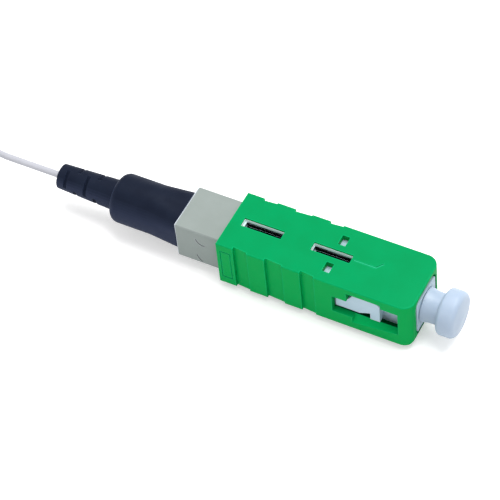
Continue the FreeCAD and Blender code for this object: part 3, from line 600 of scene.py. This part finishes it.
@dataclass
class Hank:
    """Where the put-away cable lies: long turns with round ends, in line with the boot.

    Lengths are in metres, in the frame. Its two runs lie along X.
    """

    front: float = -48.875 * MM
    run: float = 14.0 * MM
    end_r: float = 4.2 * MM
    side: float = 2.0 * MM
    height: float = 2.65 * MM
    bundle_r: float = 2.5 * MM

    def centre(self, at_front: bool) -> Vector:
        """Gives the middle of one of its round ends."""
        station = self.front if at_front else self.front - self.run
        return Vector((station, self.side - self.end_r, self.height))


@dataclass
class FibreCable:
    """The free white fibre cable, laid in a tied hank behind the boot.

    Each turn has its ring and its angle in the bundle. The place nearest the
    hank's middle stays empty, because the bend there would be too tight.
    """

    hank: Hank
    exit: Point = (-28.075 * MM, 0.0, 4.6 * MM)
    bend: Point = (-38.375 * MM, 0.0, 4.6 * MM)
    lead_in: Point = (-45.9 * MM, 2.9 * MM, 4.45 * MM)
    straight_share: float = 0.6
    diameter: float = 0.9 * MM
    length: float = 1.0
    pitch: float = 1.02 * MM
    end_points: int = 8
    sides: int = 3
    smoothness: int = 4
    order: tuple[tuple[int, int], ...] = (
        (2, 60), (2, 90), (2, 120), (2, 150), (1, 180), (2, 210), (2, 240), (2, 270), (2, 300),
        (2, 330), (2, 0), (2, 30), (1, 60), (1, 120), (0, 0), (1, 240), (1, 300), (1, 0),
    )

    def places(self) -> list[Span]:
        """Gives how far out and up each turn lies in the bundle, each beside the one before."""
        made: list[Span] = []
        for ring, degrees in self.order:
            angle = math.radians(degrees)
            far = self.pitch * ring * (math.cos(math.radians(30)) if degrees % 60 else 1.0)
            made.append((far * math.cos(angle), far * math.sin(angle)))
        return made

    def inset(self, place: Span) -> float:
        """Gives how far inside a run's end its last point lies, so that the round end stays even."""
        return (self.hank.end_r + place[0]) * math.tan(math.pi / self.end_points / 2)

    def bend_round(self, at_front: bool, place: Span) -> Iterable[Vector]:
        """Gives the points of one round end.

        Args:
            at_front: Whether it is the end towards the boot.
            place: The turn's place in the bundle.

        Yields:
            Each point, in the order that the cable runs.
        """
        step = math.pi / self.end_points
        far = (self.hank.end_r + place[0]) / math.cos(step / 2)
        begin = -math.pi / 2 if at_front else math.pi / 2
        centre = self.hank.centre(at_front)
        for count in range(self.end_points):
            angle = begin + step * (count + 0.5)
            yield centre + Vector((far * math.cos(angle), far * math.sin(angle), place[1]))

    def run_point(self, near: bool, behind: float, place: Span) -> Vector:
        """Gives a point on a straight run.

        Args:
            near: Whether it is the nearer run.
            behind: How far the point lies behind the run's front end.
            place: The turn's place in the bundle.

        Returns:
            The point.
        """
        out = self.hank.end_r + place[0]
        return self.hank.centre(True) + Vector((-behind, out if near else -out, place[1]))

    def near_half(self, place: Span) -> Iterable[Vector]:
        """Gives a turn's points from its nearer run, round its rear end, to a third of the way back.

        Args:
            place: The turn's place in the bundle.

        Yields:
            Each point, in the order that the cable runs.
        """
        rear = self.hank.run - self.inset(place)
        yield self.run_point(True, self.inset(place), place)
        yield self.run_point(True, rear, place)
        yield from self.bend_round(False, place)
        yield self.run_point(False, rear, place)
        yield self.run_point(False, self.hank.run * 2 / 3, place)

    def turns(self) -> Iterable[Vector]:
        """Gives the hank's points: each turn moves over to the next place on its farther run."""
        places = self.places()
        for place, after in zip(places, places[1:]):
            yield from self.near_half(place)
            yield self.run_point(False, self.hank.run / 3, after)
            yield self.run_point(False, self.inset(after), after)
            yield from self.bend_round(True, after)
        yield from self.near_half(places[-1])

    def build(self, workshop: Workshop, tie: bpy.types.Object) -> bpy.types.Object:
        """Lays the cable as one spline.

        Args:
            workshop: Where the finish comes from.
            tie: The tape tie on the hank; not used.

        Returns:
            The cable.
        """
        curve = bpy.data.curves.new("fibre_cable", "CURVE")
        curve.dimensions = "3D"
        curve.bevel_depth = 1.0  # each point's radius gives the real size, so the curve's box stays tight
        curve.bevel_resolution = self.sides
        curve.resolution_u = self.smoothness
        curve.use_fill_caps = True
        straight = Vector(self.exit).lerp(Vector(self.bend), self.straight_share)
        route = [Vector(self.exit), straight, Vector(self.bend), Vector(self.lead_in), *self.turns()]
        spline = curve.splines.new("NURBS")
        spline.points.add(len(route) - 1)
        for point, at in zip(spline.points, route):
            point.co = (*at, 1.0)
            point.radius = self.diameter / 2
        spline.order_u = 3
        spline.use_endpoint_u = True
        cable = bpy.data.objects.new("fibre_cable", curve)
        bpy.context.scene.collection.objects.link(cable)
        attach(cable, Body.PLUG.value)
        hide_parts("cable", "cable_coil")
        workshop.wardrobe.dress(cable, JACKET)
        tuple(self.exit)
        LOG.info("fibre cable laid, %d points", len(route))
        return cable


@dataclass
class TapeTie:
    """The band of wrap tape round both runs of the hank."""

    hank: Hank
    thickness: float = 0.15 * MM
    width: float = 2.6 * MM
    arc_steps: int = 20

    def build(self, workshop: Workshop) -> bpy.types.Object:
        """Draws the band's outline round the runs, sweeps it along them and thickens it.

        Args:
            workshop: Where the piece is made.

        Returns:
            The band.
        """
        reach = self.hank.bundle_r + self.thickness
        start = self.hank.front - (self.hank.run + self.width) / 2
        middle = self.hank.side - self.hank.end_r
        bm = bmesh.new()
        loop: list[bmesh.types.BMVert] = []
        for side, begin in ((1.0, -90.0), (-1.0, 90.0)):
            for step in range(self.arc_steps + 1):
                angle = math.radians(begin + 180.0 * step / self.arc_steps)
                across = middle + side * self.hank.end_r + reach * math.cos(angle)
                loop.append(bm.verts.new((start, across, self.hank.height + reach * math.sin(angle))))
        edges = [bm.edges.new((a, b)) for a, b in zip(loop, loop[1:] + loop[:1])]
        swept = bmesh.ops.extrude_edge_only(bm, edges=edges)
        moved = [v for v in swept["geom"] if isinstance(v, bmesh.types.BMVert)]
        bmesh.ops.translate(bm, verts=moved, vec=(self.width, 0.0, 0.0))
        bmesh.ops.recalc_face_normals(bm, faces=bm.faces)
        bmesh.ops.solidify(bm, geom=bm.faces, thickness=self.thickness)
        tie = workshop.piece("hank_band", bm, Body.PLUG, Slot.TAPE, TAPE)
        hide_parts("coil_tie")
        return tie


@dataclass
class DustCap:
    """The milky dust cap: a tube on the ferrule, a neck and a domed head."""

    tube_r: float = 1.9 * MM
    foot_r: float = 2.3 * MM
    waist_r: float = 2.08 * MM
    neck_r: float = 2.02 * MM
    head_r: float = 3.05 * MM
    bore_gap: float = 0.03 * MM
    mouth_gap: float = 0.06 * MM
    head_len: float = 2.3 * MM
    dome: float = 0.3 * MM
    dome_shares: tuple[float, ...] = (0.8, 0.6, 0.4, 0.2, 0.0)
    waist_share: float = 0.35
    wall_end: float = 3.17 * MM
    edge_r: float = 0.6 * MM
    neck_round: float = 0.3 * MM
    foot_round: float = 0.12 * MM
    mouth_round: float = 0.08 * MM
    steps: int = 96
    match: float = 2.0e-6

    def build(self, workshop: Workshop) -> bpy.types.Object:
        """Spins the cap's outline round its axis and rounds its ring edges.

        Args:
            workshop: Where the piece is made.

        Returns:
            The cap.
        """
        low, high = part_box("dust_cap")
        axis_z = (low.z + high.z) / 2
        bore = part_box("ferrule")[1].y + self.bore_gap
        rim = high.x - self.dome
        back = rim - self.head_len
        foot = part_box("plug_frame")[1].x + self.mouth_gap
        waist = foot + self.waist_share * (back - foot)
        outline = [
            (high.x - self.wall_end, 0.0),
            (high.x - self.wall_end, bore),
            (low.x, bore),
            (low.x, self.tube_r),
            (foot, self.tube_r),
            (foot, self.foot_r),
            (waist, self.waist_r),
            (back, self.neck_r),
            (back, self.head_r),
            (rim, self.head_r),
        ]
        for share in self.dome_shares:
            outline.append((rim + self.dome * (1 - share * share), self.head_r * share))
        bm = bmesh.new()
        verts = [bm.verts.new((x, 0.0, axis_z + r)) for x, r in outline]
        for first, second in zip(verts, verts[1:]):
            bm.edges.new((first, second))
        bmesh.ops.spin(
            bm,
            geom=[*bm.verts, *bm.edges],
            cent=(0.0, 0.0, axis_z),
            axis=(1.0, 0.0, 0.0),
            angle=2 * math.pi,
            steps=self.steps,
            use_merge=True,
        )
        bmesh.ops.remove_doubles(bm, verts=bm.verts, dist=1.0e-6)
        for ring, width, segments in (
            ((rim, self.head_r), self.edge_r, 5),
            ((back, self.head_r), self.edge_r, 5),
            ((back, self.neck_r), self.neck_round, 4),
            ((waist, self.waist_r), self.neck_round, 4),
            ((foot, self.foot_r), self.foot_round, 2),
            ((low.x, self.tube_r), self.foot_round, 2),
            ((low.x, bore), self.mouth_round, 2),
        ):
            soften(bm, self.ring_edges(bm, ring, axis_z), width, segments)
        cap = workshop.piece("dust_cap_milky", bm, Body.CAP, Slot.CAP, CAP)
        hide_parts("dust_cap")
        return cap

    def ring_edges(self, bm: bmesh.types.BMesh, ring: Span, axis_z: float) -> list[bmesh.types.BMEdge]:
        """Finds the edges of one ring.

        Args:
            bm: The cap's shape.
            ring: The ring's station and radius.
            axis_z: The axis's height.

        Returns:
            The ring's edges.
        """
        x, r = ring
        near: Callable[[bmesh.types.BMVert], bool] = lambda v: (
            abs(v.co.x - x) < self.match and abs(math.hypot(v.co.y, v.co.z - axis_z) - r) < self.match
        )
        return [e for e in bm.edges if all(near(v) for v in e.verts)]


@dataclass
class Shell:
    """The green outer housing and the white plug frame inside it.

    Stations along X are taken from the housing's rear face.
    """

    housing_edge: float = 0.07 * MM
    frame_edge: float = 0.05 * MM
    slots: tuple[Span, Span] = ((1.5 * MM, 7.05 * MM), (11.1 * MM, 16.45 * MM))
    slot_half: float = 0.65 * MM
    lining: float = 0.07 * MM
    lining_drop: Span = (0.66 * MM, 0.24 * MM)
    ledges: Span = (0.32 * MM, 0.14 * MM)
    ledge_drop: Span = (0.66 * MM, 0.5 * MM)
    shade: Span = (0.44 * MM, 0.565 * MM)
    shade_drop: Span = (1.88 * MM, 0.84 * MM)
    thread_half: float = 0.022 * MM
    thread_share: float = 0.65
    windows: Span = (13.85 * MM, 14.85 * MM)
    pad_margin: Span = (1.0 * MM, 0.35 * MM)
    pad_across: Span = (0.72 * MM, 3.3 * MM)
    pad_drop: float = 0.86 * MM
    sill_reach: float = 0.85 * MM
    sill_heights: Span = (1.9 * MM, 3.6 * MM)
    sill_reaches: Span = (1.75 * MM, 11.0 * MM)
    mark: tuple[Span, ...] = ((16.75 * MM, 0.0), (19.75 * MM, 0.0), (20.45 * MM, 0.9 * MM))
    mark_half: float = 0.06 * MM
    mark_depth: float = 0.1 * MM
    mark_sink: float = 5.0e-6

    def build(self, workshop: Workshop) -> None:
        """Recuts both with softened edges, and adds the linings, pads and mark."""
        housing = workshop.recut(
            "outer_housing", "green_housing", Body.SLEEVE, Slot.GREEN, GREEN, self.housing_edge
        )
        low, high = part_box("outer_housing")
        # Painted light: the sills inside the side windows get the paler, lit green.
        workshop.trim(housing, LIT_SILL, lambda face: self.on_sill(face, low, high))
        workshop.recut("plug_frame", "white_frame", Body.PLUG, Slot.WHITE, WHITE, self.frame_edge)
        rear, top = low.x, high.z
        self.line_slots(workshop, rear, top)
        self.shade_slots(workshop, rear, top)
        self.add_pads(workshop, rear, top)
        self.draw_mark(workshop, rear, top)

    def on_sill(self, face: bmesh.types.BMFace, low: Vector, high: Vector) -> bool:
        """Says whether a face of the housing is a side window's sill, or the step in it.

        Args:
            face: The face.
            low: The housing's lowest corner.
            high: Its highest corner.

        Returns:
            True for a face of the sill.
        """
        spot = face.calc_center_median()
        flank = high.y - abs(spot.y) < self.sill_reach
        under = self.sill_heights[0] < spot.z - low.z < self.sill_heights[1]
        along = self.sill_reaches[0] < high.x - spot.x < self.sill_reaches[1]
        return flank and under and along and abs(face.normal.y) < FACING

    def line_slots(self, workshop: Workshop, rear: float, top: float) -> None:
        """Lines each top slot's far side and rear end, with a ledge at the rear, in glowing painted light.

        Args:
            workshop: Where the pieces are made.
            rear: The housing's rear face.
            top: The housing's top.
        """
        low, high = top - self.lining_drop[0], top - self.lining_drop[1]
        for number, (start, end) in enumerate(self.slots, 1):
            bm = bmesh.new()
            begin = rear + start
            add_block(bm, (begin, self.slot_half - self.lining, low), (rear + end, self.slot_half, high))
            add_block(bm, (begin, -self.slot_half, low), (begin + self.lining, self.slot_half, high))
            shelf = begin + self.ledges[number - 1]
            under, over = top - self.ledge_drop[0], top - self.ledge_drop[1]
            add_block(bm, (begin, -self.slot_half, under), (shelf, self.slot_half, over))
            soften(bm, bm.edges, self.lining / 4)
            workshop.piece(f"slot_lining_{number}", bm, Body.SLEEVE, Slot.WHITE, LINING)

    def shade_slots(self, workshop: Workshop, rear: float, top: float) -> None:
        """Backs each frame slot with a black strip of painted shade, and a fine pale thread of painted
        highlight.

        Args:
            workshop: Where the pieces are made.
            rear: The housing's rear face.
            top: The housing's top.
        """
        low, high = top - self.shade_drop[0], top - self.shade_drop[1]
        near, far = self.shade
        for number, (start, end) in enumerate(self.slots, 1):
            begin, stop = rear + start + self.ledges[number - 1], rear + end - self.lining
            dark = bmesh.new()
            add_block(dark, (begin, near, low), (stop, far, high))
            soften(dark, dark.edges, self.lining / 4)
            workshop.piece(f"slot_shade_{number}", dark, Body.PLUG, Slot.BLACK, SHADE)
            # The pale thread is a painted highlight along the splice's parting edge.
            pale = bmesh.new()
            middle = (1.0 - self.thread_share) * low + self.thread_share * high
            add_block(
                pale,
                (begin + self.lining, near - self.thread_half, middle - self.thread_half),
                (stop - self.lining, near, middle + self.thread_half),
            )
            soften(pale, pale.edges, self.thread_half / 4)
            workshop.piece(f"slot_thread_{number}", pale, Body.PLUG, Slot.WHITE, WHITE)

    def add_pads(self, workshop: Workshop, rear: float, top: float) -> None:
        """Adds the frame's raised pads under the two small windows.

        Args:
            workshop: Where the piece is made.
            rear: The housing's rear face.
            top: The housing's top.
        """
        start = rear + self.windows[0] - self.pad_margin[0]
        end = rear + self.windows[1] + self.pad_margin[1]
        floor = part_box("plug_frame")[1].z - self.mark_depth
        near, far = self.pad_across
        bm = bmesh.new()
        add_block(bm, (start, near, floor), (end, far, top - self.pad_drop))
        add_block(bm, (start, -far, floor), (end, -near, top - self.pad_drop))
        soften(bm, bm.edges, self.lining)
        workshop.piece("window_pads", bm, Body.PLUG, Slot.WHITE, PAD)

    def draw_mark(self, workshop: Workshop, rear: float, top: float) -> None:
        """Fills the fine line on top, flush, with a pale bent strip: a painted highlight of the groove.

        Args:
            workshop: Where the piece is made.
            rear: The housing's rear face.
            top: The housing's top.
        """
        bm = bmesh.new()
        edge: list[list[bmesh.types.BMVert]] = []
        for x, y in self.mark:
            edge.append([bm.verts.new((rear + x, y + side * self.mark_half, top)) for side in (-1.0, 1.0)])
        for here, after in zip(edge, edge[1:]):
            bm.faces.new((here[0], after[0], after[1], here[1]))
        bmesh.ops.recalc_face_normals(bm, faces=bm.faces)
        bmesh.ops.solidify(bm, geom=bm.faces, thickness=self.mark_depth)
        drop = top - self.mark_sink - max(v.co.z for v in bm.verts)
        bmesh.ops.translate(bm, verts=bm.verts, vec=(0.0, 0.0, drop))
        workshop.piece("top_mark", bm, Body.SLEEVE, Slot.GREEN, PALE_GREEN)


@dataclass
class RearEnd:
    """The grey rear body, the rubber boot and the grip sleeve in it."""

    body_edge: float = 0.06 * MM
    boot_edge: float = 0.05 * MM
    rim_width: float = 0.2 * MM
    cut_slack: float = 1.0e-7

    def build(self, workshop: Workshop) -> None:
        """Recuts the two outer parts and keeps the inner ones."""
        body = workshop.recut("rear_body", "grey_body", Body.PLUG, Slot.GREY, GREY, self.body_edge)
        self.paint_rim_highlight(workshop, body)
        workshop.recut("boot", "strain_boot", Body.PLUG, Slot.RUBBER, BOOT, self.boot_edge)
        workshop.keep("grip_sleeve", Slot.WHITE, WHITE)
        workshop.keep("fibre_buffer", Slot.CABLE, JACKET)

    def paint_rim_highlight(self, workshop: Workshop, body: bpy.types.Object) -> None:
        """Paints a highlight, a paler glowing finish, on the block's rear rim where the boot meets it.

        Args:
            workshop: Where the finish comes from.
            body: The block.
        """
        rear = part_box("boot")[1].x
        edge = rear + self.rim_width
        bm = bmesh.new()
        bm.from_mesh(body.data)
        bmesh.ops.bisect_plane(
            bm,
            geom=[*bm.verts, *bm.edges, *bm.faces],
            dist=self.cut_slack,
            plane_co=(edge, 0.0, 0.0),
            plane_no=(1.0, 0.0, 0.0),
        )
        bm.to_mesh(body.data)
        bm.free()
        workshop.trim(
            body,
            RIM_HIGHLIGHT,
            lambda face: rear < face.calc_center_median().x < edge and abs(face.normal.x) < FACING,
        )


@dataclass
class FerruleUnit:
    """The ceramic ferrule with its flange, stub fibre, spring and seat."""

    travel: float = 0.8 * MM

    def build(self, workshop: Workshop) -> None:
        """Gives each part its finish, and recuts the spring with a mesh of its own."""
        workshop.keep("ferrule", Slot.CERAMIC, CERAMIC)
        workshop.keep("ferrule_flange", Slot.FLANGE, FLANGE)
        spring = workshop.recut("ferrule_spring", "float_spring", Body.PLUG, Slot.STEEL, STEEL)
        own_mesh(spring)
        workshop.keep("spring_seat", Slot.WHITE, WHITE)
        workshop.keep("fibre_stub", Slot.GLASS, GLASS)
        workshop.keep("bare_fibre", Slot.GLASS, GLASS)


@dataclass
class Splice:
    """The mechanical splice: its base, two lids and two spring clamps."""

    def build(self, workshop: Workshop) -> None:
        """Gives each part its finish, and recuts each clamp as a fixed piece on no body."""
        workshop.keep("splice_base", Slot.BLACK, BLACK)
        for node, name, lid, leaf in (
            ("front_clamp", "front_clip", "front_lid", Body.FRONT_LEAF),
            ("rear_clamp", "rear_clip", "rear_lid", Body.REAR_LEAF),
        ):
            workshop.keep(lid, Slot.BLACK, BLACK)
            clip = workshop.recut(node, name, None, Slot.STEEL, STEEL)
            low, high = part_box(lid)
            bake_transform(clip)


@dataclass
class StudioCamera:
    """The long lens that looks down on the connector."""

    azimuth: float = 0.5620171
    elevation: float = 0.8893250
    roll: float = -0.1155633
    distance: float = 0.33
    lens: float = 190.793
    sensor: float = 36.0
    reach: Span = (0.01, 20.0)
    target: Point = (-0.42753 * MM, -1.14750 * MM, 4.6 * MM)

    def build(self) -> None:
        """Makes the camera and points it."""
        level = math.cos(self.elevation)
        across, along = math.cos(self.azimuth), math.sin(self.azimuth)
        back = Vector((along * level, -across * level, math.sin(self.elevation)))
        flat = Vector((across, along, 0.0))
        upward = back.cross(flat)
        right = flat * math.cos(self.roll) + upward * math.sin(self.roll)
        up = upward * math.cos(self.roll) - flat * math.sin(self.roll)
        data = bpy.data.cameras.new("studio_camera")
        data.lens = self.lens
        data.sensor_width = self.sensor
        data.clip_start, data.clip_end = self.reach
        camera = bpy.data.objects.new("studio_camera", data)
        turned = Matrix((right, up, back)).transposed().to_4x4()
        camera.matrix_world = Matrix.Translation(Vector(self.target) + back * self.distance) @ turned
        bpy.context.scene.collection.objects.link(camera)
        bpy.context.scene.camera = camera
        LOG.info("camera set")


@dataclass(frozen=True)
class Softbox:
    """A square area lamp."""

    name: str
    place: Point
    size: float
    power: float

    def build(self, aim: Vector) -> None:
        """Hangs the lamp and aims it.

        Args:
            aim: The point that it faces.
        """
        data = bpy.data.lights.new(self.name, "AREA")
        data.size = self.size
        data.energy = self.power
        lamp = bpy.data.objects.new(self.name, data)
        lamp.location = self.place
        lamp.rotation_euler = (aim - Vector(self.place)).to_track_quat("-Z", "Y").to_euler()
        bpy.context.scene.collection.objects.link(lamp)


@dataclass
class Studio:
    """The pale floor, the white surround and the softboxes."""

    floor_size: float = 3.0
    floor_colour: Colour = (0.8, 0.8, 0.802)
    grain: float = 4.0 * MM
    grain_shade: float = 0.995
    roughness: float = 0.9
    shine: float = 0.1
    lift: float = 0.38
    surround: float = 0.8
    aim: Point = (0.0, 0.0, 4.0 * MM)
    lamps: tuple[Softbox, ...] = (
        Softbox("overhead", (0.08, 0.16, 0.62), 0.45, 5.2),
        Softbox("front_fill", (-0.16, -0.55, 0.34), 0.5, 0.4),
    )

    def build(self) -> None:
        """Lays the floor and lights it."""
        self.lay_floor()
        self.light()
        bpy.context.scene.view_settings.view_transform = "Standard"
        LOG.info("studio lit with %d lamps", len(self.lamps))

    def lay_floor(self) -> None:
        """Lays a pale matt floor under the object."""
        bm = bmesh.new()
        bmesh.ops.create_grid(bm, x_segments=1, y_segments=1, size=self.floor_size / 2)
        mesh = bpy.data.meshes.new("floor")
        bm.to_mesh(mesh)
        bm.free()
        floor = bpy.data.objects.new("floor", mesh)
        bpy.context.scene.collection.objects.link(floor)
        graph = ShaderGraph("floor_paper")
        fleck = tuple(self.grain_shade * c for c in self.floor_colour)
        paper = graph.mix(graph.spread(graph.noise(self.grain), NOISE_SPAN), self.floor_colour, fleck)
        graph.join(paper, graph.surface.inputs["Base Color"])
        graph.set(Roughness=self.roughness, Specular_IOR_Level=self.shine)
        seen = graph.add("ShaderNodeLightPath").outputs["Is Camera Ray"]
        graph.join(graph.spread(seen, FULL, (0.0, self.lift)), graph.surface.inputs["Emission Strength"])
        graph.surface.inputs["Emission Color"].default_value = (1.0, 1.0, 1.0, 1.0)
        mesh.materials.append(graph.material)

    def light(self) -> None:
        """Sets the surround, white to the camera, and hangs the lamps."""
        world = bpy.data.worlds.new("surround")
        bpy.context.scene.world = world
        world.use_nodes = True
        tree = world.node_tree
        tree.nodes.clear()
        seen = tree.nodes.new("ShaderNodeLightPath")
        strength = tree.nodes.new("ShaderNodeMapRange")
        strength.inputs["To Min"].default_value = self.surround
        strength.inputs["To Max"].default_value = 1.0
        glow = tree.nodes.new("ShaderNodeBackground")
        glow.inputs["Color"].default_value = (1.0, 1.0, 1.0, 1.0)
        output = tree.nodes.new("ShaderNodeOutputWorld")
        tree.links.new(seen.outputs["Is Camera Ray"], strength.inputs["Value"])
        tree.links.new(strength.outputs["Result"], glow.inputs["Strength"])
        tree.links.new(glow.outputs["Background"], output.inputs["Surface"])
        for lamp in self.lamps:
            lamp.build(Vector(self.aim))


def main() -> None:
    """Builds the scene."""
    logging.basicConfig(level=logging.INFO, format="%(name)s: %(message)s")
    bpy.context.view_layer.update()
    StudioCamera().build()
    workshop = Workshop(Wardrobe())
    hank = Hank()
    tie = TapeTie(hank).build(workshop)
    FibreCable(hank).build(workshop, tie)
    Shell().build(workshop)
    RearEnd().build(workshop)
    FerruleUnit().build(workshop)
    Splice().build(workshop)
    DustCap().build(workshop)
    Studio().build()


if __name__ == "__main__":
    main()
